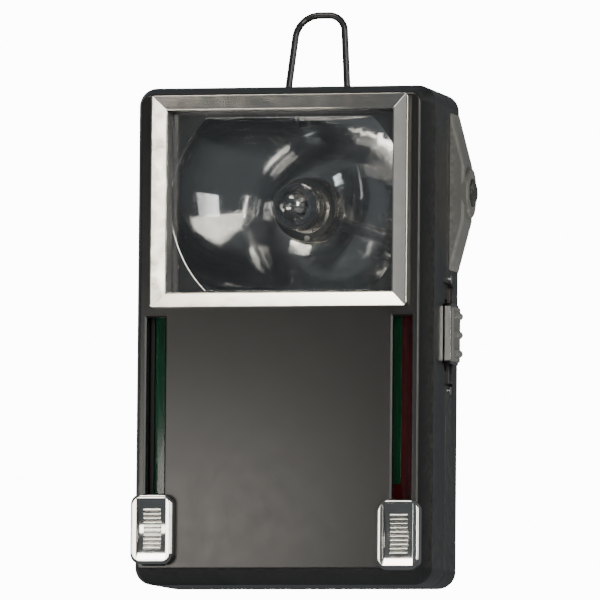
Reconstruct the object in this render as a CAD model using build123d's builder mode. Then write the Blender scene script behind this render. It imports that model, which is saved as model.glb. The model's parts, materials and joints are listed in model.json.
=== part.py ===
"""Flat pocket signal torch: a black two-part case with a chromed window frame, a truncated bowl
reflector, two colour filters on chromed finger sliders, a slide switch, a signal push button in a
raised pod, a hinged rear cover, a wire hanging bail and a flat 4.5 V battery.

Millimetres. X runs to the right seen from the front, Z is up, and the front face looks along -Y.
The origin is the middle of the flat base. "Depth" is the distance behind the front face.
"""

from build123d import *
from math import atan2, degrees
import os

# ---------------------------------------------------------------- driving dimensions
body_width = 74.5
body_height = 122.0
body_depth = 37.0
wall = 2.0
corner_radius = 4.4
bevel_depth = 7.0  # the front of the case tapers in over this depth
bevel_inset = 2.25
foot_inset = 3.6
front_edge_radius = 0.7
back_edge_radius = 4.0
seam_depth = 21.0  # where the front shell meets the rear cover
seam_chamfer = 0.25

lamp_z = 93.5  # height of the lamp's axis
window_width = 56.6
window_height = 44.6
bezel_width = 64.4
bezel_height = 51.9
bezel_proud = 1.6
bezel_slope = 72.0
bezel_slope_depth = 1.08
sleeve_wall = 1.0
sleeve_depth = 5.0

slot_x = 30.85  # centre of each slider's slot
slot_width = 4.7
slot_bottom = 4.9
slot_top = 65.2

cap_width = 10.6
cap_height = 17.2
cap_depth = 2.85
slide_gap = 0.15
dish_radius = 17.0  # the thumb rest is hollowed along the cap
dish_sag = 1.75
dish_width = 7.4
rib_count = 10
rib_pitch = 1.03
rib_length = 4.4
green_cap_z = 13.3  # the green slider stands a little above its stop
red_cap_z = 11.8
filter_height = 47.0
filter_thickness = 0.8
green_depth = 6.3
red_depth = 7.4
green_top = 71.5
red_top = 70.0
slider_rivet_z = 4.5  # rivets above and below each cap's middle
filter_edge = 32.4
filter_far_edge = 29.4

chassis_depth = 8.5
chassis_thickness = 1.0
chassis_screw_x = 33.8
chassis_screw_z = (68.6, 116.5)

bowl_radius = 29.8
bowl_flat = 21.2  # half height of the bowl between its flat top and bottom
bowl_rim_depth = 10.3
bowl_neck_radius = 7.7
bowl_neck_depth = 26.3
bowl_wall = 1.2
reflector_rivet_x = 30.15
reflector_rivet_z = (lamp_z - 18.0, lamp_z + 18.0)
post_x = 17.0
holder_depth = 29.0

bulb_globe_radius = 5.7
bulb_globe_depth = 16.6
bulb_base_front = 21.6
bulb_base_back = 31.2
bulb_base_radius = 4.7
socket_radius = 5.4
contact_rivet_z = lamp_z - 7.0

battery_width = 62.0
battery_height = 61.0
battery_depth = 22.0
battery_bottom = 3.2
battery_front = 9.8
battery_top = battery_bottom + battery_height
tongue_x = 16.0
tongue_depth = 19.0

side_x = body_width / 2  # outer face of the side walls
inner_x = side_x - wall
switch_depth = 24.5
switch_z = 62.0
switch_rivet_z = (48.3, 75.7)
switch_plate_x = 32.6
pod_depth = 28.2
pod_width = 9.7
pod_z = 97.2
pod_length = 38.6
pod_screw_z = (83.4, 111.0)
button_radius = 3.3
button_stem_radius = 1.4
signal_leaf_x = 33.0
signal_leaf_foot_z = 88.5

hinge_z = 61.0
hinge_radius = 1.4
hinge_pin_radius = 0.7
running = 0.06  # radial clearance of a pin that turns

bail_z = 112.0
bail_depth = 38.6
bail_wire_radius = 0.85
bracket_rivet_x = 4.2
bracket_rivet_z = 106.2
latch_z = 20.0
latch_rivet_depth = 26.0

# ---------------------------------------------------------------- shared frames and helpers
front_y = -body_depth / 2
mid_z = body_height / 2
bevel_angle = degrees(atan2(bevel_inset, bevel_depth))
lamp_section = Plane(origin=(0, front_y, lamp_z), x_dir=(0, 1, 0), z_dir=(1, 0, 0))
lamp_axis = Axis((0, 0, lamp_z), (0, 1, 0))


def at_depth(depth):
    """Plane of an X-Z drawing at that depth; extruding by a positive amount goes to the front."""
    return Plane(origin=(0, front_y + depth, 0), x_dir=(1, 0, 0), z_dir=(0, -1, 0))


def at_side(x):
    """Plane of a depth-height drawing at that X; extruding by a positive amount goes to +X."""
    return Plane(origin=(x, front_y, 0), x_dir=(0, 1, 0), z_dir=(1, 0, 0))


def save(part, name):
    part.label = name
    export_step(part, f"parts/{name}.step")


def slab(x, z, width, height, depth_from, depth_to, radius=0.0, mode=Mode.ADD):
    """Adds a plate that is drawn in X-Z and spans a range of depth."""
    with BuildSketch(at_depth(depth_to)) as outline:
        with Locations((x, z)):
            if radius:
                RectangleRounded(width, height, radius)
            else:
                Rectangle(width, height)
    extrude(outline.sketch, amount=depth_to - depth_from, mode=mode)


def rod(x, z, radius, depth_from, depth_to, mode=Mode.ADD):
    """Adds a round bar along Y."""
    with BuildSketch(at_depth(depth_to)) as outline:
        with Locations((x, z)):
            Circle(radius)
    extrude(outline.sketch, amount=depth_to - depth_from, mode=mode)


def side_slab(depth, z, width, height, x_from, x_to, radius=0.0, mode=Mode.ADD):
    """Adds a plate that is drawn in depth-height and spans a range of X."""
    with BuildSketch(at_side(x_from)) as outline:
        with Locations((depth, z)):
            if radius:
                RectangleRounded(width, height, radius)
            else:
                Rectangle(width, height)
    extrude(outline.sketch, amount=x_to - x_from, mode=mode)


def side_rod(depth, z, radius, x_from, x_to, mode=Mode.ADD):
    """Adds a round bar along X."""
    with BuildSketch(at_side(x_from)) as outline:
        with Locations((depth, z)):
            Circle(radius)
    extrude(outline.sketch, amount=x_to - x_from, mode=mode)


def upright(x, depth, radius, z_from, z_to, mode=Mode.ADD):
    """Adds a round bar along Z."""
    with BuildSketch(Plane.XY.offset(z_from)) as outline:
        with Locations((x, front_y + depth)):
            Circle(radius)
    extrude(outline.sketch, amount=z_to - z_from, mode=mode)


def turned(points, mode=Mode.ADD):
    """Adds a turned piece on the lamp's axis from (depth, radius) points."""
    with BuildSketch(lamp_section) as section:
        with BuildLine():
            Polyline(*points, close=True)
        make_face()
    revolve(section.sketch, axis=lamp_axis, mode=mode)


def bent_strip(points, bend_radius, thickness, width, x_from):
    """A metal strip bent in the depth-height plane, along the given centre line."""
    with BuildPart() as strip:
        with BuildSketch(at_side(x_from)):
            with BuildLine():
                FilletPolyline(*points, radius=bend_radius)
                offset(amount=thickness / 2, side=Side.BOTH)
            make_face()
        extrude(amount=width)
    return strip.part


# ---------------------------------------------------------------- case
def knuckles(spans):
    """Hinge barrels on the left edge of the seam, one for each (bottom, top) span."""
    for bottom, top in spans:
        upright(-side_x, seam_depth, hinge_radius, bottom, top)


def clear_knuckles(spans):
    """Room for the other part's barrels."""
    for bottom, top in spans:
        upright(-side_x, seam_depth, hinge_radius + 0.15, bottom - 0.15, top + 0.15, Mode.SUBTRACT)


def hinge_bore():
    """The pin's bore, with a pocket for the head at each end."""
    upright(-side_x, seam_depth, hinge_pin_radius + running, hinge_z - 20.5, hinge_z + 20.5, Mode.SUBTRACT)
    for bottom in (hinge_z - 21.2, hinge_z + 20.0):
        upright(-side_x, seam_depth, 1.35, bottom, bottom + 1.2, Mode.SUBTRACT)


shell_knuckles = ((hinge_z - 20, hinge_z - 8.4), (hinge_z + 8.4, hinge_z + 20))
cover_knuckles = ((hinge_z - 8.1, hinge_z + 8.1),)
recess_depth = 22.4  # middle of the recess that the switch knob runs in
recess_width = 11.2
recess_height = 25.2


def switch_recess():
    side_slab(
        recess_depth, switch_z, recess_width, recess_height,
        side_x - 1.0, side_x + 1, radius=1.0, mode=Mode.SUBTRACT,
    )


def make_front_shell():
    with BuildPart() as shell:
        with BuildSketch(at_depth(seam_depth)):
            with Locations((0, mid_z)):
                RectangleRounded(body_width, body_height, corner_radius)
        extrude(amount=seam_depth - bevel_depth)
        chamfer(shell.faces().sort_by(Axis.Y)[-1].edges(), seam_chamfer)
        with BuildSketch(at_depth(bevel_depth)):
            with Locations((0, mid_z)):
                RectangleRounded(body_width, body_height, corner_radius)
        extrude(amount=bevel_depth, taper=bevel_angle)
        # the bevel is deeper along the foot
        with BuildSketch(at_side(-body_width / 2)):
            with BuildLine():
                Polyline((-1, foot_inset), (0, foot_inset), (bevel_depth, 0), (-1, 0), close=True)
            make_face()
        extrude(amount=body_width, mode=Mode.SUBTRACT)
        fillet(shell.faces().sort_by(Axis.Y)[0].edges(), front_edge_radius)
        # the hollow follows the outside
        slab(
            0, mid_z, body_width - 2 * wall, body_height - 2 * wall,
            bevel_depth, seam_depth, corner_radius - wall, Mode.SUBTRACT,
        )
        with BuildSketch(at_depth(bevel_depth)):
            with Locations((0, mid_z)):
                RectangleRounded(
                    body_width - 2 * wall, body_height - 2 * wall, corner_radius - wall
                )
        extrude(amount=bevel_depth - wall, taper=bevel_angle, mode=Mode.SUBTRACT)
        # window opening
        slab(
            0, lamp_z, window_width + 2 * sleeve_wall + 0.1,
            window_height + 2 * sleeve_wall + 0.1, -1, wall + 0.5, mode=Mode.SUBTRACT,
        )
        # slider slots with bevelled outer edges
        for side in (-1, 1):
            slab(
                side * slot_x, (slot_top + slot_bottom) / 2, slot_width,
                slot_top - slot_bottom, -1, wall + 0.5, mode=Mode.SUBTRACT,
            )
        slot_edges = (
            shell.faces().sort_by(Axis.Y)[0].inner_wires().edges()
            .filter_by(lambda e: e.center().Z < slot_top + 1)
        )
        chamfer(slot_edges, 0.4)
        # screw bosses for the chassis
        for side in (-1, 1):
            for z in chassis_screw_z:
                rod(side * chassis_screw_x, z, 1.3, wall - 0.2, chassis_depth)
                slab(
                    side * (chassis_screw_x + 1.0), z, 1.4, 2.0, wall + 1, chassis_depth
                )
                rod(
                    side * chassis_screw_x, z, 0.72, chassis_depth - 4, chassis_depth,
                    Mode.SUBTRACT,
                )
        switch_recess()
        clear_knuckles(cover_knuckles)
        knuckles(shell_knuckles)
        hinge_bore()
    save(shell.part, "front_shell")


def make_rear_cover():
    with BuildPart() as hollow:
        slab(
            0, mid_z, body_width - 2 * wall, body_height - 2 * wall,
            seam_depth - 1, body_depth - wall, corner_radius - wall,
        )
        fillet(hollow.faces().sort_by(Axis.Y)[-1].edges(), corner_radius - wall - 0.1)
    with BuildPart() as cover:
        slab(0, mid_z, body_width, body_height, seam_depth, body_depth, corner_radius)
        chamfer(cover.faces().sort_by(Axis.Y)[0].edges(), seam_chamfer)
        fillet(cover.faces().sort_by(Axis.Y)[-1].edges(), back_edge_radius)
        add(hollow.part, mode=Mode.SUBTRACT)
        # the lip that enters the front shell
        lip_width, lip_height, lip_wall = body_width - 2 * wall - 0.3, body_height - 2 * wall - 0.3, 1.0
        slab(0, mid_z, lip_width, lip_height, seam_depth - 1.6, seam_depth + 1.0, 2.2)
        slab(0, mid_z, lip_width + 0.6, lip_height + 0.6, seam_depth + 0.05, seam_depth + 1.0, 2.4)
        slab(
            0, mid_z, lip_width - 2 * lip_wall, lip_height - 2 * lip_wall,
            seam_depth - 2, seam_depth + 2, 1.4, Mode.SUBTRACT,
        )
        # the lip leaves room for the switch, the latch spring and the hinge
        for z, height in ((switch_z, 36.0), (20.0, 16.0)):
            slab(inner_x - 1.4, z, 2.8, height, seam_depth - 2, seam_depth + 1.5, mode=Mode.SUBTRACT)
        switch_recess()
        # through slot for the knob's stem, and the holes of the pieces fixed to the side wall
        side_slab(
            switch_depth, switch_z, 3.2, 18.0, inner_x - 1, side_x, radius=1.5,
            mode=Mode.SUBTRACT,
        )
        for z in switch_rivet_z:
            side_rod(switch_depth, z, 0.78, inner_x - 1, side_x + 1, Mode.SUBTRACT)
        side_rod(pod_depth, pod_z, button_stem_radius + running, inner_x - 1, side_x + 1, Mode.SUBTRACT)
        for z in pod_screw_z:
            side_rod(pod_depth, z, 0.78, inner_x - 1, side_x + 1, Mode.SUBTRACT)
        # post for the signal contact
        side_slab(pod_depth, signal_leaf_foot_z, 5.0, 5.0, signal_leaf_x + 0.15, inner_x + 0.2)
        # bail bracket rivets
        for side in (-1, 1):
            rod(side * bracket_rivet_x, bracket_rivet_z, 0.98, body_depth - 3, body_depth + 1, Mode.SUBTRACT)
        # latch spring rivet
        side_rod(latch_rivet_depth, latch_z, 0.78, inner_x - 1, inner_x + 1.2, Mode.SUBTRACT)
        clear_knuckles(shell_knuckles)
        knuckles(cover_knuckles)
        hinge_bore()
    save(cover.part, "rear_cover")


def make_hinge_pin():
    with BuildPart() as pin:
        upright(-side_x, seam_depth, hinge_pin_radius, hinge_z - 20.5, hinge_z + 20.5)
        for bottom in (hinge_z - 20.9, hinge_z + 20.1):
            upright(-side_x, seam_depth, 1.15, bottom, bottom + 0.8)
    save(pin.part, "hinge_pin")


# ---------------------------------------------------------------- window
def make_window():
    lip = 0.25
    with BuildPart() as bezel:
        # a raised block whose face slopes in to a thin lip round the window
        slab(0, lamp_z, bezel_width, bezel_height, -bezel_proud, 0, 0.9)
        fillet(bezel.faces().sort_by(Axis.Y)[0].edges(), 0.12)
        with BuildSketch(at_depth(bezel_slope_depth - bezel_proud)):
            with Locations((0, lamp_z)):
                Rectangle(window_width + 2 * lip, window_height + 2 * lip)
        extrude(amount=bezel_slope_depth, taper=-bezel_slope, mode=Mode.SUBTRACT)
        slab(0, lamp_z, window_width, window_height, -bezel_proud - 1, 1, mode=Mode.SUBTRACT)
    save(bezel.part, "window_bezel")

    with BuildPart() as sleeve:
        slab(
            0, lamp_z, window_width + 2 * sleeve_wall, window_height + 2 * sleeve_wall,
            0, sleeve_depth,
        )
        slab(0, lamp_z, window_width, window_height, -1, sleeve_depth + 1, mode=Mode.SUBTRACT)
    save(sleeve.part, "window_sleeve")

    with BuildPart() as pane:
        slab(
            0, lamp_z, window_width + 3.2, window_height + 3.2,
            sleeve_depth + 0.02, sleeve_depth + 1.0, 0.8,
        )
    save(pane.part, "window_pane")


# ---------------------------------------------------------------- colour filters
def make_slider(side, name, cap_z, filter_top, filter_depth):
    """A finger slider and its filter. The cap, the carriage and the plate are riveted together."""
    x = side * slot_x
    back = filter_depth + filter_thickness
    with BuildPart() as cap:
        slab(x, cap_z, cap_width, cap_height, -slide_gap - cap_depth, -slide_gap, 2.6)
        fillet(cap.faces().sort_by(Axis.Y)[0].edges(), 0.8)
        dish_axis = -slide_gap - cap_depth + dish_sag - dish_radius
        side_rod(
            dish_axis, cap_z, dish_radius, x - dish_width / 2, x + dish_width / 2, Mode.SUBTRACT
        )
        for i in range(rib_count):
            along = (i - (rib_count - 1) / 2) * rib_pitch
            surface = dish_axis + (dish_radius**2 - along**2) ** 0.5
            side_rod(surface + 0.05, cap_z + along, 0.38, x - rib_length / 2, x + rib_length / 2)
        for z in (-slider_rivet_z, slider_rivet_z):
            rod(x, cap_z + z, 0.7, -slide_gap - 0.8, -slide_gap, Mode.SUBTRACT)
    save(cap.part, f"{name}_slider_cap")

    with BuildPart() as carriage:
        slab(x, cap_z, slot_width - 0.5, 11.0, -slide_gap, wall + 0.5)
        slab(side * 30.35, cap_z, 6.3, 15.6, wall + 0.3, wall + 1.5)
        slab(side * 31.3, cap_z, 2.2, 13.0, wall + 1.4, filter_depth)
        for z in (-slider_rivet_z, slider_rivet_z):
            rod(x, cap_z + z, 0.7, -1, back, Mode.SUBTRACT)
    save(carriage.part, f"{name}_slider_carriage")

    with BuildPart() as plate:
        left, right = sorted((side * filter_edge, -side * filter_far_edge))
        slab(
            (left + right) / 2, filter_top - filter_height / 2, right - left, filter_height,
            filter_depth, back,
        )
        tail_top, tail_bottom = filter_top - filter_height + 1, cap_z - 7.5
        slab(
            side * (filter_edge - 2.6), (tail_top + tail_bottom) / 2, 5.2,
            tail_top - tail_bottom, filter_depth, back,
        )
        fillet(plate.edges().filter_by(Axis.Y), 0.6)
        for z in (-slider_rivet_z, slider_rivet_z):
            rod(x, cap_z + z, 0.7, filter_depth - 1, back + 1, Mode.SUBTRACT)
    save(plate.part, f"{name}_filter")

    with BuildPart() as rivets:
        for z in (-slider_rivet_z, slider_rivet_z):
            rod(x, cap_z + z, 0.7, -slide_gap - 0.8, back)
            rod(x, cap_z + z, 1.2, back, back + 0.25)
    save(rivets.part, f"{name}_slider_rivets")


def make_stop_pads():
    """Rubber blocks that the sliders rest on at the foot of each slot."""
    with BuildPart() as pads:
        for side in (-1, 1):
            slab(side * slot_x, slot_bottom + 0.6, slot_width - 0.1, 1.2, 0.7, wall)
    save(pads.part, "slider_stop_pads")


# ---------------------------------------------------------------- chassis and lamp
def make_chassis():
    back = chassis_depth + chassis_thickness
    with BuildPart() as chassis:
        slab(0, mid_z, body_width - 2 * wall - 0.7, body_height - 2 * wall - 0.8,
             chassis_depth, back, 2.2)
        with BuildSketch(at_depth(back + 1)):
            with Locations((0, lamp_z)):
                Circle(bowl_radius + 0.1)
                Rectangle(70, 2 * bowl_flat + 0.4, mode=Mode.INTERSECT)
        extrude(amount=chassis_thickness + 2, mode=Mode.SUBTRACT)
        for side in (-1, 1):
            # rails that guide the filters' edges, and ribs that locate the battery
            slab(side * 33.05, mid_z, 0.9, 112.0, sleeve_depth + 1.0, chassis_depth + 0.2)
            slab(side * 31.9, 34.0, 1.2, 56.0, back - 0.2, back + 4.0)
        # shelf over the battery that carries the contact strips
        slab(0, 66.4, 56.0, 1.2, back - 0.2, back + 14.0)
        for side in (-1, 1):
            for z in chassis_screw_z:
                rod(side * chassis_screw_x, z, 1.5, 0, chassis_depth, Mode.SUBTRACT)
                rod(side * chassis_screw_x, z, 0.8, 0, back + 1, Mode.SUBTRACT)
            for z in reflector_rivet_z:
                rod(side * reflector_rivet_x, z, 0.62, 0, back + 1, Mode.SUBTRACT)
            # slots in the shelf for the battery's tongues
            slab(side * tongue_x, 66.4, 7.0, 3.0, tongue_depth - 1.0, tongue_depth + 1.0,
                 mode=Mode.SUBTRACT)
    save(chassis.part, "chassis")

    with BuildPart() as screws:
        for side in (-1, 1):
            for z in chassis_screw_z:
                rod(side * chassis_screw_x, z, 0.7, chassis_depth - 3.6, back + 0.2)
                rod(side * chassis_screw_x, z, 1.4, back, back + 0.9)
                slab(side * chassis_screw_x, z, 3.0, 0.35, back + 0.5, back + 1.5,
                     mode=Mode.SUBTRACT)
    save(screws.part, "chassis_screws")


def bowl(rim_depth, rim_radius, neck_depth, neck_radius, lead):
    """Adds a solid paraboloid, from `lead` in front of its rim back to its neck."""
    span = (rim_radius**2 - neck_radius**2) / (neck_depth - rim_depth)
    apex = rim_depth + rim_radius**2 / span
    middle = (apex - rim_radius * neck_radius / span, (rim_radius + neck_radius) / 2)
    with BuildSketch(lamp_section) as section:
        with BuildLine():
            Bezier((rim_depth, rim_radius), middle, (neck_depth, neck_radius))
            Polyline(
                (neck_depth, neck_radius), (neck_depth, 0), (rim_depth - lead, 0),
                (rim_depth - lead, rim_radius), (rim_depth, rim_radius),
            )
        make_face()
    revolve(section.sketch, axis=lamp_axis)


def make_reflector():
    flange_depth = chassis_depth + chassis_thickness + 0.02
    slab_half = bowl_flat + bowl_wall
    with BuildPart() as inner:
        bowl(bowl_rim_depth, bowl_radius, bowl_neck_depth, bowl_neck_radius, 2.0)
        for side in (-1, 1):
            slab(0, lamp_z + side * (bowl_flat + 10), 70, 20, 0, 40, mode=Mode.SUBTRACT)
    with BuildPart() as reflector:
        bowl(
            bowl_rim_depth - 0.3, bowl_radius + bowl_wall, bowl_neck_depth + bowl_wall,
            bowl_neck_radius + bowl_wall, 0.4,
        )
        for side in (-1, 1):
            slab(0, lamp_z + side * (slab_half + 10), 70, 20, 0, 40, mode=Mode.SUBTRACT)
        slab(0, lamp_z, 62.2, 46.0, flange_depth, bowl_rim_depth + 0.1, 1.0)
        for side in (-1, 1):
            rod(side * post_x, lamp_z, 2.0, bowl_rim_depth + 8, holder_depth)
        add(inner.part, mode=Mode.SUBTRACT)
        rod(0, lamp_z, bowl_neck_radius, bowl_neck_depth - 2, holder_depth, Mode.SUBTRACT)
        for side in (-1, 1):
            rod(side * post_x, lamp_z, 0.72, holder_depth - 4, holder_depth, Mode.SUBTRACT)
            for z in reflector_rivet_z:
                rod(side * reflector_rivet_x, z, 0.62, 0, 15, Mode.SUBTRACT)
    save(reflector.part, "reflector")

    with BuildPart() as rivets:
        for side in (-1, 1):
            for z in reflector_rivet_z:
                rod(side * reflector_rivet_x, z, 0.6, chassis_depth - 0.2, bowl_rim_depth + 0.2)
                rod(side * reflector_rivet_x, z, 0.75, chassis_depth - 0.22, chassis_depth)
                rod(side * reflector_rivet_x, z, 1.0, bowl_rim_depth + 0.1, bowl_rim_depth + 0.6)
    save(rivets.part, "reflector_rivets")




def make_bulb():
    with BuildPart() as glass:
        with BuildSketch(lamp_section):
            with BuildLine():
                globe = CenterArc((bulb_globe_depth, 0), bulb_globe_radius, 42, 138)
                Polyline(
                    globe @ 0, (bulb_base_front, 3.6), (bulb_base_front + 1.5, 3.6),
                    (bulb_base_front + 1.5, 3.1), (bulb_base_front - 0.2, 3.1),
                )
                inner = CenterArc((bulb_globe_depth, 0), bulb_globe_radius - 0.5, 37, 143)
                Line((bulb_base_front - 0.2, 3.1), inner @ 0)
                Line(globe @ 1, inner @ 1)
            make_face()
        revolve(axis=lamp_axis)
    save(glass.part, "bulb_glass")

    thread = []
    for turn in range(4):
        start = bulb_base_front + 0.6 + 1.8 * turn
        thread += [(start, 4.3), (start + 0.45, bulb_base_radius), (start + 1.35, bulb_base_radius)]
    with BuildPart() as base:
        turned((
            (bulb_base_front + 1.6, 1.8), (bulb_base_front + 1.6, 3.65), (bulb_base_front, 3.65),
            (bulb_base_front, 4.3), *thread, (bulb_base_back - 0.6, 3.0), (bulb_base_back, 2.2),
            (bulb_base_back, 1.8),
        ))
    save(base.part, "bulb_base")

    with BuildPart() as insulator:
        turned(((bulb_base_back - 2.4, 0.85), (bulb_base_back - 2.4, 1.8),
                (bulb_base_back + 0.3, 1.8), (bulb_base_back + 0.3, 0.85)))
    save(insulator.part, "bulb_insulator")

    with BuildPart() as tip:
        turned(((bulb_base_back - 2.4, 0), (bulb_base_back - 2.4, 0.85),
                (bulb_base_back + 0.3, 0.85), (bulb_base_back + 0.3, 1.3),
                (bulb_base_back + 0.8, 1.1), (bulb_base_back + 1.0, 0)))
    save(tip.part, "bulb_contact_tip")

    with BuildPart() as mount:
        # glass bead with two lead wires
        rod(0, lamp_z, 1.3, bulb_base_front - 1.0, bulb_base_front + 0.8)
        for side in (-1, 1):
            rod(side * 0.9, lamp_z, 0.16, bulb_globe_depth - 0.4, bulb_base_front + 2.2)
    save(mount.part, "bulb_leads")

    with BuildPart() as filament:
        side_rod(bulb_globe_depth - 0.7, lamp_z, 0.25, -0.9, 0.9)
    save(filament.part, "bulb_filament")


def make_bulb_holder():
    plate_back = holder_depth + 1.2
    with BuildPart() as plate:
        slab(0, lamp_z, 42.0, 17.0, holder_depth + 0.02, plate_back, 3.0)
        rod(0, lamp_z, socket_radius + 0.02, holder_depth - 1, plate_back + 1, Mode.SUBTRACT)
        for side in (-1, 1):
            rod(side * post_x, lamp_z, 0.8, holder_depth - 1, plate_back + 1, Mode.SUBTRACT)
        rod(0, contact_rivet_z, 0.72, holder_depth - 1, plate_back + 1, Mode.SUBTRACT)
    save(plate.part, "bulb_holder_plate")

    with BuildPart() as screws:
        for side in (-1, 1):
            rod(side * post_x, lamp_z, 0.7, holder_depth - 3.6, plate_back + 0.2)
            rod(side * post_x, lamp_z, 1.6, plate_back, plate_back + 1.0)
            slab(side * post_x, lamp_z, 3.4, 0.4, plate_back + 0.5, plate_back + 2, mode=Mode.SUBTRACT)
    save(screws.part, "holder_screws")

    with BuildPart() as socket:
        front = bulb_base_front + 1.2
        turned(((front, bulb_base_radius + 0.15), (front - 0.4, socket_radius + 0.3),
                (front + 0.3, socket_radius + 0.3), (front + 0.5, socket_radius),
                (holder_depth - 0.4, socket_radius), (holder_depth - 0.4, 5.8),
                (holder_depth, 5.8), (holder_depth, socket_radius),
                (plate_back + 0.3, socket_radius), (plate_back + 0.3, bulb_base_radius + 0.15)))
    save(socket.part, "bulb_socket")

    # centre contact: a sprung strip from its rivet, which also holds the positive strip
    foot_depth = plate_back + 0.6
    tip_depth = bulb_base_back + 1.22
    strip = bent_strip(
        ((foot_depth, lamp_z - 8.8), (foot_depth, lamp_z - 5.0),
         (tip_depth, lamp_z - 3.0), (tip_depth, lamp_z + 1.6)),
        0.7, 0.36, 4.6, -2.3,
    )
    with BuildPart() as contact:
        add(strip)
        rod(0, contact_rivet_z, 0.72, 0, 40, Mode.SUBTRACT)
    save(contact.part, "bulb_centre_contact")

    with BuildPart() as rivet:
        rod(0, contact_rivet_z, 0.7, holder_depth + 0.02, plate_back + 1.0)
        rod(0, contact_rivet_z, 1.1, plate_back + 0.8, plate_back + 1.2)
    save(rivet.part, "centre_contact_rivet")


# ---------------------------------------------------------------- battery and contacts


def make_battery():
    with BuildPart() as jacket:
        slab(0, battery_bottom + battery_height / 2, battery_width, battery_height,
             battery_front, battery_front + battery_depth)
        fillet(jacket.edges().filter_by(Axis.Z), 4.0)
        with BuildSketch(Plane.XY.offset(battery_top - 2.0)):
            with Locations((0, front_y + battery_front + battery_depth / 2)):
                RectangleRounded(battery_width - 1.6, battery_depth - 1.6, 3.2)
        extrude(amount=3.0, mode=Mode.SUBTRACT)
    save(jacket.part, "battery_case")

    with BuildPart() as seal:
        with BuildSketch(Plane.XY.offset(battery_top - 2.0)):
            with Locations((0, front_y + battery_front + battery_depth / 2)):
                RectangleRounded(battery_width - 1.6, battery_depth - 1.6, 3.2)
        extrude(amount=1.4)
        for side in (-1, 1):
            slab(side * tongue_x, battery_top - 1.3, 6.1, 1.4, tongue_depth - 0.17,
                 tongue_depth + 0.17, mode=Mode.SUBTRACT)
    save(seal.part, "battery_seal")

    # the short tongue stands up, and the long one folds over under the shelf's contact
    for name, x, reach in (
        ("battery_short_tongue", -tongue_x, tongue_depth + 3.4),
        ("battery_long_tongue", tongue_x, tongue_depth + 10.5),
    ):
        strip = bent_strip(
            ((tongue_depth, battery_top - 1.8), (tongue_depth, 68.2), (reach, 69.0)),
            0.8, 0.3, 6.0, x - 3.0,
        )
        save(strip, name)


def make_contact_strips():
    # positive: over the short tongue, up behind the reflector to the centre contact's rivet
    run_depth = holder_depth + 1.42
    positive = bent_strip(
        ((tongue_depth + 0.6, 69.75), (run_depth, 69.75), (run_depth, lamp_z - 5.4)),
        1.0, 0.38, 5.0, -tongue_x - 2.5,
    )
    with BuildPart() as strip:
        add(positive)
        slab(-8.1, contact_rivet_z, 20.8, 3.2, run_depth - 0.19, run_depth + 0.19)
        rod(0, contact_rivet_z, 0.72, 0, 40, Mode.SUBTRACT)
    save(strip.part, "positive_contact_strip")

    # negative: over the long tongue, and out towards the switch
    negative = bent_strip(
        ((tongue_depth + 0.6, 70.1), (tongue_depth + 9.0, 70.1), (tongue_depth + 9.0, 75.0)),
        0.8, 0.4, 5.0, tongue_x - 2.5,
    )
    with BuildPart() as wiper:
        add(negative)
        slab(22.4, 73.6, 17.0, 2.8, tongue_depth + 8.8, tongue_depth + 9.2)
    save(wiper.part, "negative_contact_strip")


# ---------------------------------------------------------------- switch and signal button


def make_switch():
    knob_height = 14.8
    knob_depth = 22.5
    with BuildPart() as tray:
        side_slab(knob_depth, switch_z, 9.2, knob_height, side_x - 0.75, side_x + 1.7, 0.8)
        side_slab(knob_depth, switch_z, 8.0, knob_height - 1.2, side_x + 0.9, side_x + 2, 0.6,
                  Mode.SUBTRACT)
        side_slab(switch_depth, switch_z, 2.9, 6.4, inner_x - 0.2, side_x - 0.7)
        side_rod(switch_depth, switch_z, 0.9, inner_x - 0.9, inner_x)
    save(tray.part, "switch_knob_tray")

    with BuildPart() as knob:
        side_slab(knob_depth, switch_z, 7.96, knob_height - 1.24, side_x + 0.9, side_x + 2.35, 0.6)
        fillet(knob.faces().sort_by(Axis.X)[-1].edges(), 0.45)
        for offset_z in (-4.6, 0.0, 4.6):
            with BuildSketch(at_depth(knob_depth + 3.6)):
                with Locations((side_x + 2.1, switch_z + offset_z)):
                    Circle(0.95)
            extrude(amount=7.2)
    save(knob.part, "switch_knob")

    with BuildPart() as slide:
        side_slab(switch_depth, switch_z, 6.0, 14.4, inner_x - 0.65, inner_x - 0.22)
        side_rod(switch_depth, switch_z, 0.9, inner_x - 1, inner_x, Mode.SUBTRACT)
    save(slide.part, "switch_slide_plate")

    with BuildPart() as base:
        side_slab(switch_depth, switch_z, 5.6, 33.0, switch_plate_x, switch_plate_x + 1.0, 0.5)
        for z in switch_rivet_z:
            side_rod(switch_depth, z, 0.78, switch_plate_x - 1, switch_plate_x + 2, Mode.SUBTRACT)
    save(base.part, "switch_base_plate")

    with BuildPart() as spacers:
        for z in switch_rivet_z:
            side_rod(switch_depth, z, 1.5, switch_plate_x + 1.0, inner_x)
            side_rod(switch_depth, z, 0.78, switch_plate_x, inner_x + 1, Mode.SUBTRACT)
    save(spacers.part, "switch_spacers")

    with BuildPart() as rivets:
        for z in switch_rivet_z:
            side_rod(switch_depth, z, 0.75, switch_plate_x - 0.4, side_x + 0.3)
            side_rod(switch_depth, z, 1.0, side_x, side_x + 0.35)
            side_rod(switch_depth, z, 1.2, switch_plate_x - 0.5, switch_plate_x)
    save(rivets.part, "switch_rivets")

    with BuildPart() as contact:
        side_slab(switch_depth, switch_z + 4.4, 3.0, 6.0, switch_plate_x + 1.0, switch_plate_x + 1.3)
    save(contact.part, "switch_fixed_contact")


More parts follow.
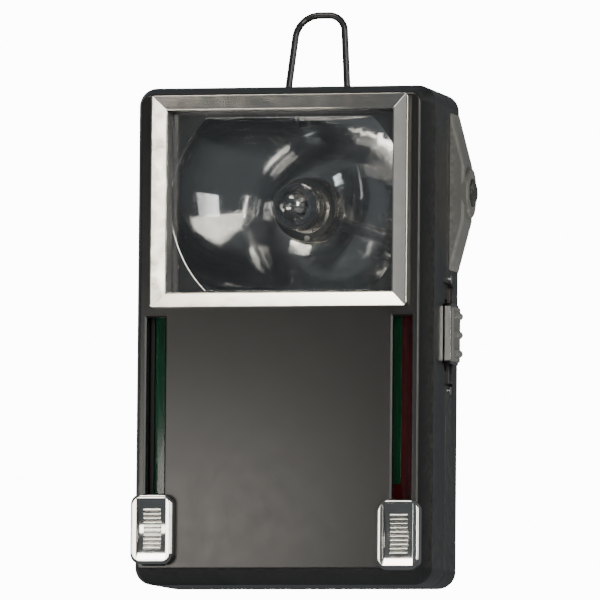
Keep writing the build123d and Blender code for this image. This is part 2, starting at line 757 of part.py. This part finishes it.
def make_signal_button():
    high = side_x + 4.7
    with BuildPart() as pod:
        with BuildSketch(at_depth(pod_depth + pod_width / 2)):
            with BuildLine():
                Polyline(
                    (side_x, pod_z - pod_length / 2), (side_x + 0.4, pod_z - pod_length / 2),
                    (high - 1.0, pod_z - 6.8), (high - 1.0, pod_z + 6.8),
                    (side_x + 0.4, pod_z + pod_length / 2), (side_x, pod_z + pod_length / 2),
                    close=True,
                )
            make_face()
        extrude(amount=pod_width)
        long_edges = pod.edges().filter_by(lambda e: e.center().X > side_x + 1.0)
        fillet(long_edges.filter_by(lambda e: abs(e.center().Y - (front_y + pod_depth)) > 3), 0.9)
        with BuildSketch(at_side(side_x + 2.6)):
            with Locations((pod_depth, pod_z)):
                SlotOverall(12.4, pod_width, rotation=90)
        extrude(amount=high - side_x - 2.6)
        fillet(pod.faces().sort_by(Axis.X)[-1].edges(), 0.6)
        side_rod(pod_depth, pod_z, button_radius + 0.12, side_x - 1, high + 1, Mode.SUBTRACT)
        side_rod(pod_depth, pod_z, button_radius + 0.85, side_x - 1, high - 1.6, Mode.SUBTRACT)
        for z in pod_screw_z:
            side_rod(pod_depth, z, 0.72, side_x - 1, side_x + 1.2, Mode.SUBTRACT)
    save(pod.part, "button_pod")

    with BuildPart() as button:
        section = Plane(origin=(0, front_y + pod_depth, pod_z), x_dir=(1, 0, 0), z_dir=(0, -1, 0))
        with BuildSketch(section):
            with BuildLine():
                Polyline(
                    (high + 0.35, button_radius), (high - 1.75, button_radius),
                    (high - 1.75, button_radius + 0.7), (high - 2.6, button_radius + 0.7),
                    (high - 2.6, button_stem_radius), (inner_x - 0.65, button_stem_radius),
                    (inner_x - 0.65, 0), (high + 1.2, 0),
                )
                ThreePointArc((high + 1.2, 0), (high + 0.98, button_radius * 0.52), (high + 0.35, button_radius))
            make_face()
        revolve(axis=Axis((0, front_y + pod_depth, pod_z), (1, 0, 0)))
    save(button.part, "signal_button")

    with BuildPart() as spring:
        with BuildLine():
            coil = Helix(
                pitch=0.62, height=1.55, radius=2.55,
                center=(side_x + 0.26, front_y + pod_depth, pod_z), direction=(1, 0, 0),
            )
        with BuildSketch(Plane(coil @ 0, z_dir=coil % 0)):
            Circle(0.2)
        sweep(is_frenet=True)
    save(spring.part, "button_spring")

    with BuildPart() as screws:
        for z in pod_screw_z:
            side_rod(pod_depth, z, 0.7, inner_x - 0.2, side_x + 1.1)
            side_rod(pod_depth, z, 1.4, inner_x - 0.9, inner_x)
            side_slab(pod_depth, z, 3.0, 0.35, inner_x - 1.5, inner_x - 0.5, mode=Mode.SUBTRACT)
    save(screws.part, "pod_screws")

    with BuildPart() as leaf:
        side_slab(pod_depth, (signal_leaf_foot_z - 2.5 + pod_z + 3) / 2, 4.4,
                  pod_z + 3 - (signal_leaf_foot_z - 2.5), signal_leaf_x - 0.15, signal_leaf_x + 0.14, 0.8)
    save(leaf.part, "signal_contact_leaf")


# ---------------------------------------------------------------- rear fittings


def make_bail():
    barrel_from, barrel_to = 4.6, 6.2
    with BuildPart() as bracket:
        slab(0, 107.6, 15.0, 9.6, body_depth, body_depth + 0.6, 1.0)
        for side in (-1, 1):
            low, high = sorted((side * barrel_from, side * barrel_to))
            side_rod(bail_depth, bail_z, 1.5, low, high)
            side_slab(body_depth + 0.8, bail_z, 1.6, 3.0, low, high)
            side_rod(bail_depth, bail_z, bail_wire_radius + running, low - 1, high + 1, Mode.SUBTRACT)
        for side in (-1, 1):
            rod(side * bracket_rivet_x, bracket_rivet_z, 0.98, body_depth - 1, body_depth + 2, Mode.SUBTRACT)
    save(bracket.part, "bail_bracket")

    with BuildPart() as bail:
        with BuildLine(at_depth(bail_depth)) as path:
            FilletPolyline(
                (4.3, bail_z), (8.3, bail_z), (6.7, 142.6), (-4.9, 142.6), (-8.9, bail_z),
                (-4.3, bail_z), radius=(1.5, 4.0, 6.2, 1.5),
            )
        with BuildSketch(Plane(path.line @ 0, z_dir=path.line % 0)):
            Circle(bail_wire_radius)
        sweep()
    save(bail.part, "hanging_bail")

    with BuildPart() as rivets:
        for side in (-1, 1):
            x = side * bracket_rivet_x
            rod(x, bracket_rivet_z, 0.95, body_depth - wall, body_depth + 0.8)
            rod(x, bracket_rivet_z, 1.5, body_depth + 0.6, body_depth + 1.0)
            rod(x, bracket_rivet_z, 1.4, body_depth - wall - 0.5, body_depth - wall)
        fillet(rivets.faces().sort_by(Axis.Y)[-2:].edges(), 0.25)
    save(rivets.part, "bracket_rivets")


def make_latch():
    # a bowed leaf inside the right wall, which grips the front shell when the cover is shut
    spring = bent_strip_in_plan(
        ((29.0, inner_x - 0.25), (24.0, inner_x - 0.25), (21.0, inner_x - 0.75), (19.0, inner_x - 0.35),
         (16.6, inner_x - 1.4)),
        0.8, 0.4, 9.0, latch_z - 4.5,
    )
    with BuildPart() as latch:
        add(spring)
        side_rod(latch_rivet_depth, latch_z, 0.78, inner_x - 2, inner_x + 1, Mode.SUBTRACT)
    save(latch.part, "latch_spring")

    with BuildPart() as rivet:
        side_rod(latch_rivet_depth, latch_z, 0.75, inner_x - 0.5, inner_x + 1.1)
        side_rod(latch_rivet_depth, latch_z, 1.4, inner_x - 0.95, inner_x - 0.47)
    save(rivet.part, "latch_rivet")


def bent_strip_in_plan(points, bend_radius, thickness, height, z_from):
    """A metal strip bent in plan, from (depth, X) points, standing on z_from."""
    with BuildPart() as strip:
        plan = Plane(origin=(0, front_y, z_from), x_dir=(0, 1, 0), z_dir=(0, 0, -1))
        with BuildSketch(plan):
            with BuildLine():
                FilletPolyline(*points, radius=bend_radius)
                offset(amount=thickness / 2, side=Side.BOTH)
            make_face()
        extrude(amount=-height)
    return strip.part


def make_battery_pad():
    with BuildPart() as pad:
        slab(0, 34.0, 50.0, 40.0, battery_front + battery_depth + 0.1, body_depth - wall, 2.0)
    save(pad.part, "battery_pad")



os.makedirs("parts", exist_ok=True)
make_front_shell()
make_rear_cover()
make_hinge_pin()
make_window()
make_slider(-1, "green", green_cap_z, green_top, green_depth)
make_slider(1, "red", red_cap_z, red_top, red_depth)
make_stop_pads()
make_chassis()
make_reflector()
make_bulb()
make_bulb_holder()
make_battery()
make_contact_strips()
make_switch()
make_signal_button()
make_bail()
make_latch()
make_battery_pad()
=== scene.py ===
"""Pocket signal torch: materials, the bulb's filament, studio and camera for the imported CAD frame."""

import json
from math import cos, pi, radians, sin

import bmesh
import bpy
from mathutils import Euler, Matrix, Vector


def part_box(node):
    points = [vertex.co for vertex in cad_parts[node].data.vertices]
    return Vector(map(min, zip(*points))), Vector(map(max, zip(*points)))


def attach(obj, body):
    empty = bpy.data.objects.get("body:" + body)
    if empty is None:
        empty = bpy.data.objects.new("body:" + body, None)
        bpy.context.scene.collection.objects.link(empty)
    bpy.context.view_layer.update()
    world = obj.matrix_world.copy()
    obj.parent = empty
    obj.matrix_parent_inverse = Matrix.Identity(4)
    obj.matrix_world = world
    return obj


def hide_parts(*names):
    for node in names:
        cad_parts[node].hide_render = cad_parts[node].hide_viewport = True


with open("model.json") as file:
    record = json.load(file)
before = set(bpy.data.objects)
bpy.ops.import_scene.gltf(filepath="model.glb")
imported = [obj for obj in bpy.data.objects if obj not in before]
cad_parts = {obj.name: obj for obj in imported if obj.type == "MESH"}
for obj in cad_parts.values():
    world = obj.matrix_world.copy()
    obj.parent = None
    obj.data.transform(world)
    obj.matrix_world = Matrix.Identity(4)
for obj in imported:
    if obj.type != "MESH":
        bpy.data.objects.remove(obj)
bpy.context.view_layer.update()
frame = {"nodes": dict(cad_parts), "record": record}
nodes = frame["nodes"]
MM = 0.001


# ---------------------------------------------------------------- material building blocks
class Shader:
    """A Principled material with a few procedural layers."""

    def __init__(self, name, color, roughness, metallic=0.0):
        self.material = bpy.data.materials.new(name)
        self.material.use_nodes = True
        self.tree = self.material.node_tree
        self.main = self.tree.nodes["Principled BSDF"]
        self.color = color
        self.tone = color
        self.last_normal = None
        self.main.inputs["Base Color"].default_value = (*color, 1.0)
        self.main.inputs["Roughness"].default_value = roughness
        self.main.inputs["Metallic"].default_value = metallic
        self.place = self.tree.nodes.new("ShaderNodeTexCoord").outputs["Object"]

    def add(self, kind, **inputs):
        """A new node. Each input is a constant or another node's socket."""
        node = self.tree.nodes.new(kind)
        for key, value in inputs.items():
            self.feed(value, node.inputs[key.replace("_", " ")])
        return node

    def feed(self, value, socket):
        """Links a socket to another, or sets it to a constant."""
        if isinstance(value, bpy.types.NodeSocket):
            self.tree.links.new(value, socket)
        else:
            socket.default_value = value

    def link(self, output, key):
        self.tree.links.new(output, self.main.inputs[key])

    def noise(self, scale, detail=4.0):
        node = self.add("ShaderNodeTexNoise", Vector=self.place, Scale=scale, Detail=detail,
                        Roughness=0.55)
        return node.outputs["Fac"]

    def ramp(self, factor, low, high, dark=0.0, light=1.0):
        """Maps low..high to dark..light, and stays at dark or light outside that."""
        node = self.add("ShaderNodeMapRange", Value=factor, From_Min=low, From_Max=high,
                        To_Min=dark, To_Max=light)
        return node.outputs["Result"]

    def blend(self, factor, first, second):
        """A colour between first and second. Either may be a socket or an (r, g, b)."""
        node = self.tree.nodes.new("ShaderNodeMix")
        node.data_type = "RGBA"
        factor_input, first_input, second_input = (node.inputs[i] for i in (0, 6, 7))
        self.feed(factor, factor_input)
        for value, socket in ((first, first_input), (second, second_input)):
            self.feed((*value, 1.0) if isinstance(value, tuple) else value, socket)
        return node.outputs[2]

    def mottle(self, scale, amount, stain=None):
        """Slow variation of the base colour, towards stain or towards a paler tone."""
        pale = stain or tuple(min(1.0, c * (1 + amount)) for c in self.color)
        dark = tuple(c * (1 - amount) for c in self.color)
        self.tone = self.blend(self.ramp(self.noise(scale), 0.3, 0.7), dark, pale)
        self.link(self.tone, "Base Color")

    def wear(self, color):
        """A paler tone along worn edges, broken up by noise."""
        edge = self.add("ShaderNodeNewGeometry").outputs["Pointiness"]
        both = self.add("ShaderNodeMath")
        both.operation = "MULTIPLY"
        self.feed(self.ramp(edge, 0.53, 0.6), both.inputs[0])
        self.feed(self.ramp(self.noise(900.0), 0.35, 0.7), both.inputs[1])
        self.tone = self.blend(both.outputs[0], self.tone, color)
        self.link(self.tone, "Base Color")

    def polish(self, scale, low, high):
        """Roughness that varies between low and high."""
        self.link(self.ramp(self.noise(scale), 0.3, 0.7, low, high), "Roughness")

    def bump(self, factor, strength, distance):
        """Adds a bump over any earlier one."""
        node = self.add("ShaderNodeBump", Height=factor, Strength=strength, Distance=distance)
        if self.last_normal:
            self.feed(self.last_normal, node.inputs["Normal"])
        self.last_normal = node.outputs["Normal"]
        self.link(self.last_normal, "Normal")

    def soften(self, radius):
        """Rounds sharp edges in the shading."""
        node = self.add("ShaderNodeBevel", Radius=radius)
        node.samples = 6
        self.last_normal = node.outputs["Normal"]
        self.link(self.last_normal, "Normal")


def moulded(name, color, roughness, spread=0.12, grain=0.03, edge=None, soft=0.15 * MM, alpha=1.0):
    """Moulded plastic, card or lacquer: fine grain, faint orange peel and paler edges."""
    shader = Shader(name, color, roughness)
    shader.main.inputs["Alpha"].default_value = alpha
    shader.soften(soft)
    shader.mottle(60.0, spread)
    if edge:
        shader.wear(edge)
    shader.polish(220.0, roughness * 0.95, roughness * 1.08)
    shader.bump(shader.noise(1500.0, detail=2.0), grain, 0.05 * MM)
    shader.bump(shader.noise(180.0, detail=3.0), grain * 1.5, 0.12 * MM)
    return shader.material


def plated(name, color, roughness, stain=None):
    """Plated or bare metal: a faint polishing texture and slightly tarnished patches."""
    shader = Shader(name, color, roughness, metallic=1.0)
    shader.soften(0.12 * MM)
    shader.mottle(120.0, 0.08, stain)
    shader.polish(350.0, roughness * 0.8, roughness * 1.25)
    shader.bump(shader.noise(500.0, detail=3.0), 0.04, 0.02 * MM)
    return shader.material


def clear(name, color, reflection):
    """Thin clear plastic or glass: mirror-like where it reflects and open where it doesn't."""
    roughness = 0.03
    shader = Shader(name, color, roughness, metallic=1.0)
    shader.mottle(90.0, 0.03)
    shader.polish(60.0, roughness * 0.7, roughness * 1.6)
    facing = shader.add("ShaderNodeFresnel", IOR=1.5).outputs["Fac"]
    shader.link(shader.ramp(facing, 0.0, 0.8, reflection, 0.85), "Alpha")
    shader.bump(shader.noise(40.0, detail=1.0), 0.02, 0.1 * MM)
    return shader.material


# ---------------------------------------------------------------- materials, by the record's slots
FILTER = {"roughness": 0.12, "spread": 0.15, "grain": 0.01, "alpha": 0.55}
MOULDED = {
    "case_black": {"color": (0.006, 0.0058, 0.0054), "roughness": 0.3,
                   "edge": (0.03, 0.029, 0.026), "soft": 0.3 * MM},
    "green_filter": {"color": (0.004, 0.05, 0.022), **FILTER},
    "red_filter": {"color": (0.07, 0.005, 0.008), **FILTER},
    "slider_plastic": {"color": (0.03, 0.03, 0.03), "roughness": 0.5},
    "stop_rubber": {"color": (0.02, 0.02, 0.02), "roughness": 0.8, "grain": 0.1},
    "chassis_plastic": {"color": (0.012, 0.012, 0.012), "roughness": 0.6},
    "bulb_insulator": {"color": (0.02, 0.02, 0.025), "roughness": 0.15},
    # holder_board: darkened from the board's brown to near black, as painted shade for where it shows
    # through the reflector's neck
    "holder_board": {"color": (0.02, 0.019, 0.017), "roughness": 0.5, "spread": 0.3,
                     "grain": 0.08},
    "battery_card": {"color": (0.25, 0.17, 0.07), "roughness": 0.7, "spread": 0.2,
                     "grain": 0.12, "edge": (0.45, 0.38, 0.25)},
    "battery_pitch": {"color": (0.02, 0.018, 0.016), "roughness": 0.35, "grain": 0.15},
    "battery_foam": {"color": (0.16, 0.15, 0.14), "roughness": 0.9, "grain": 0.6},
    "grey_plastic": {"color": (0.085, 0.084, 0.075), "roughness": 0.42, "spread": 0.08,
                     "edge": (0.15, 0.148, 0.135)},
    "button_plastic": {"color": (0.028, 0.03, 0.026), "roughness": 0.25},
    "bail_wire": {"color": (0.012, 0.012, 0.012), "roughness": 0.3, "edge": (0.2, 0.2, 0.2),
                  "soft": 0.0},
}
PLATED = {
    "window_chrome": {"color": (0.8, 0.765, 0.7), "roughness": 0.085,
                      "stain": (0.72, 0.67, 0.58)},
    "slider_chrome": {"color": (0.66, 0.65, 0.62), "roughness": 0.09,
                      "stain": (0.5, 0.49, 0.46)},
    "small_rivets": {"color": (0.75, 0.74, 0.72), "roughness": 0.28},
    "screws": {"color": (0.55, 0.54, 0.52), "roughness": 0.3},
    "reflector_coating": {"color": (0.83, 0.83, 0.82), "roughness": 0.05,
                          "stain": (0.76, 0.76, 0.75)},
    "bulb_nickel": {"color": (0.5, 0.48, 0.44), "roughness": 0.25, "stain": (0.34, 0.32, 0.28)},
    "bulb_metal": {"color": (0.6, 0.6, 0.6), "roughness": 0.3},
    "contact_brass": {"color": (0.8, 0.64, 0.34), "roughness": 0.28, "stain": (0.55, 0.4, 0.2)},
    "tray_nickel": {"color": (0.3, 0.3, 0.29), "roughness": 0.15},
    "spring_steel": {"color": (0.5, 0.5, 0.5), "roughness": 0.3},
    "hinge_steel": {"color": (0.45, 0.44, 0.42), "roughness": 0.35},
}
CLEAR = {
    "clear_pane": {"color": (0.96, 0.97, 0.96), "reflection": 0.05},
    "bulb_glass": {"color": (0.97, 0.97, 0.97), "reflection": 0.10},
}

materials = {}
for make, looks in ((moulded, MOULDED), (plated, PLATED), (clear, CLEAR)):
    for slot, look in looks.items():
        materials[slot] = make(slot, **look)

for part in frame["record"]["subparts"]:
    obj = nodes[part["node"]]
    obj.data.materials.clear()
    obj.data.materials.append(materials[part["material_slot"]])


# ---------------------------------------------------------------- filament
def make_filament():
    """A wound coil between the bulb's lead wires, in place of the CAD's plain bar."""
    low, high = (Vector(v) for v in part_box("bulb_filament"))
    middle = (low + high) / 2
    turns = 9
    steps = 14
    wire = 0.045 * MM
    room = (high.z - low.z) / 2 - 1.5 * wire
    coil_radius = 0.7 * room
    bow = 0.3 * room
    coil_length = high.x - low.x - 2 * wire
    curve = bpy.data.curves.new("filament_coil", "CURVE")
    curve.dimensions = "3D"
    curve.bevel_depth = wire
    curve.bevel_resolution = 2
    spline = curve.splines.new("POLY")
    spline.points.add(turns * steps)
    for i, point in enumerate(spline.points):
        share = i / (turns * steps)
        angle = 2 * pi * turns * share
        bowed = bow * (cos(pi * (share - 0.5)) - 0.5)
        point.co = (
            low.x + wire + coil_length * share,
            middle.y + coil_radius * cos(angle) + bowed,
            middle.z + coil_radius * sin(angle),
            1.0,
        )
    coil = bpy.data.objects.new("filament_coil", curve)
    bpy.context.collection.objects.link(coil)
    curve.materials.append(materials["bulb_metal"])
    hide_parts("bulb_filament")
    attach(coil, "case")


make_filament()


# ---------------------------------------------------------------- studio
CASE_MIDDLE = Vector((0, 0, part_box("front_shell")[1][2] / 2))
WINDOW_MIDDLE = Vector((0, -0.018, 0.0935))
FACE_FOOT = Vector((0, 0, 0.018))


def aim(obj, target):
    obj.rotation_euler = (target - obj.location).to_track_quat("-Z", "Y").to_euler()


def around(azimuth, elevation, distance, middle):
    """The point that far from middle. Azimuth 0 is in front of the window, 90 on the right."""
    a, e = radians(azimuth), radians(elevation)
    return middle + distance * Vector((sin(a) * cos(e), -cos(a) * cos(e), sin(e)))


def softbox(name, azimuth, elevation, distance, size, radiance, tint=(1.0, 1.0, 1.0),
            middle=CASE_MIDDLE):
    """A rectangular soft light. Its power follows from its size, so radiance is its brightness."""
    data = bpy.data.lights.new(name, "AREA")
    data.shape = "RECTANGLE"
    data.size, data.size_y = size
    data.energy = radiance * pi * size[0] * size[1]
    data.color = tint
    lamp = bpy.data.objects.new(name, data)
    lamp.location = around(azimuth, elevation, distance, middle)
    aim(lamp, middle)
    lamp.visible_camera = False
    bpy.context.collection.objects.link(lamp)
    return lamp


def make_world():
    """White behind the object, and a dim cool room for its reflections."""
    backdrop_strength = 16.0
    room_strength = 0.15
    room_color = (0.86, 0.93, 1.0, 1.0)
    world = bpy.data.worlds.new("studio")
    world.use_nodes = True
    bpy.context.scene.world = world
    tree = world.node_tree
    tree.nodes.clear()
    out = tree.nodes.new("ShaderNodeOutputWorld")
    mix = tree.nodes.new("ShaderNodeMixShader")
    backdrop = tree.nodes.new("ShaderNodeBackground")
    backdrop.inputs["Strength"].default_value = backdrop_strength
    room = tree.nodes.new("ShaderNodeBackground")
    room.inputs["Color"].default_value = room_color
    room.inputs["Strength"].default_value = room_strength
    path = tree.nodes.new("ShaderNodeLightPath")
    tree.links.new(path.outputs["Is Camera Ray"], mix.inputs[0])
    tree.links.new(room.outputs[0], mix.inputs[1])
    tree.links.new(backdrop.outputs[0], mix.inputs[2])
    tree.links.new(mix.outputs[0], out.inputs["Surface"])


def make_floor():
    """Pale paper, seen from above only, because the camera looks up from just below it."""
    half_width = 6.0
    glow = 1.2
    mesh = bpy.data.meshes.new("floor")
    edit = bmesh.new()
    bmesh.ops.create_grid(edit, x_segments=1, y_segments=1, size=half_width)
    edit.to_mesh(mesh)
    edit.free()
    floor = bpy.data.objects.new("floor", mesh)
    bpy.context.collection.objects.link(floor)
    paper = Shader("pale_paper", (0.86, 0.86, 0.85), 0.9)
    paper.mottle(3.0, 0.01)
    paper.main.inputs["Emission Color"].default_value = (1, 1, 1, 1)
    paper.main.inputs["Emission Strength"].default_value = glow
    below = paper.add("ShaderNodeNewGeometry").outputs["Backfacing"]
    paper.link(paper.ramp(below, 0.0, 1.0, 1.0, 0.0), "Alpha")
    mesh.materials.append(paper.material)
    floor.visible_glossy = False


def make_camera():
    target = Vector((0.0009, 0.0, 0.0705))
    azimuth, elevation, roll = 13.4, -4.0, 0.5
    distance = 2.5
    view_width = 0.1473
    data = bpy.data.cameras.new("camera")
    data.sensor_width = 36.0
    data.lens = data.sensor_width * distance / view_width
    camera = bpy.data.objects.new("camera", data)
    camera.location = around(azimuth, elevation, distance, target)
    aim(camera, target)
    upright = camera.rotation_euler.to_matrix()
    camera.rotation_euler = (upright @ Euler((0, 0, radians(roll))).to_matrix()).to_euler()
    bpy.context.collection.objects.link(camera)
    bpy.context.scene.camera = camera


def make_lights():
    softbox("face_sheen", -22, 1, 0.26, (0.11, 0.05), 9.0, tint=(1.0, 0.94, 0.86),
            middle=FACE_FOOT)
    softbox("band_light", 25, 8, 1.1, (0.16, 0.36), 26.0, tint=(1.0, 0.96, 0.9))
    softbox("key", -14, 45, 1.0, (0.36, 0.22), 16.0, tint=(1.0, 0.95, 0.86))
    softbox("right_fill", 70, 5, 1.0, (0.3, 0.3), 8.0)
    softbox("low_left", -58, -20, 0.2, (0.035, 0.03), 16.0, tint=(0.9, 0.95, 1.0),
            middle=WINDOW_MIDDLE)
    softbox("left_fill", -52, 6, 1.1, (0.2, 0.5), 0.5, tint=(0.97, 0.98, 1.0))
    back = softbox("back_fill", 180, 40, 1.2, (0.9, 0.6), 6.0)
    back.visible_glossy = False
    softbox("back_left_rim", -130, 25, 1.2, (0.3, 0.6), 2.5)
    softbox("back_right_rim", 125, 25, 1.2, (0.2, 0.6), 1.0)


make_world()
make_floor()
make_camera()
make_lights()
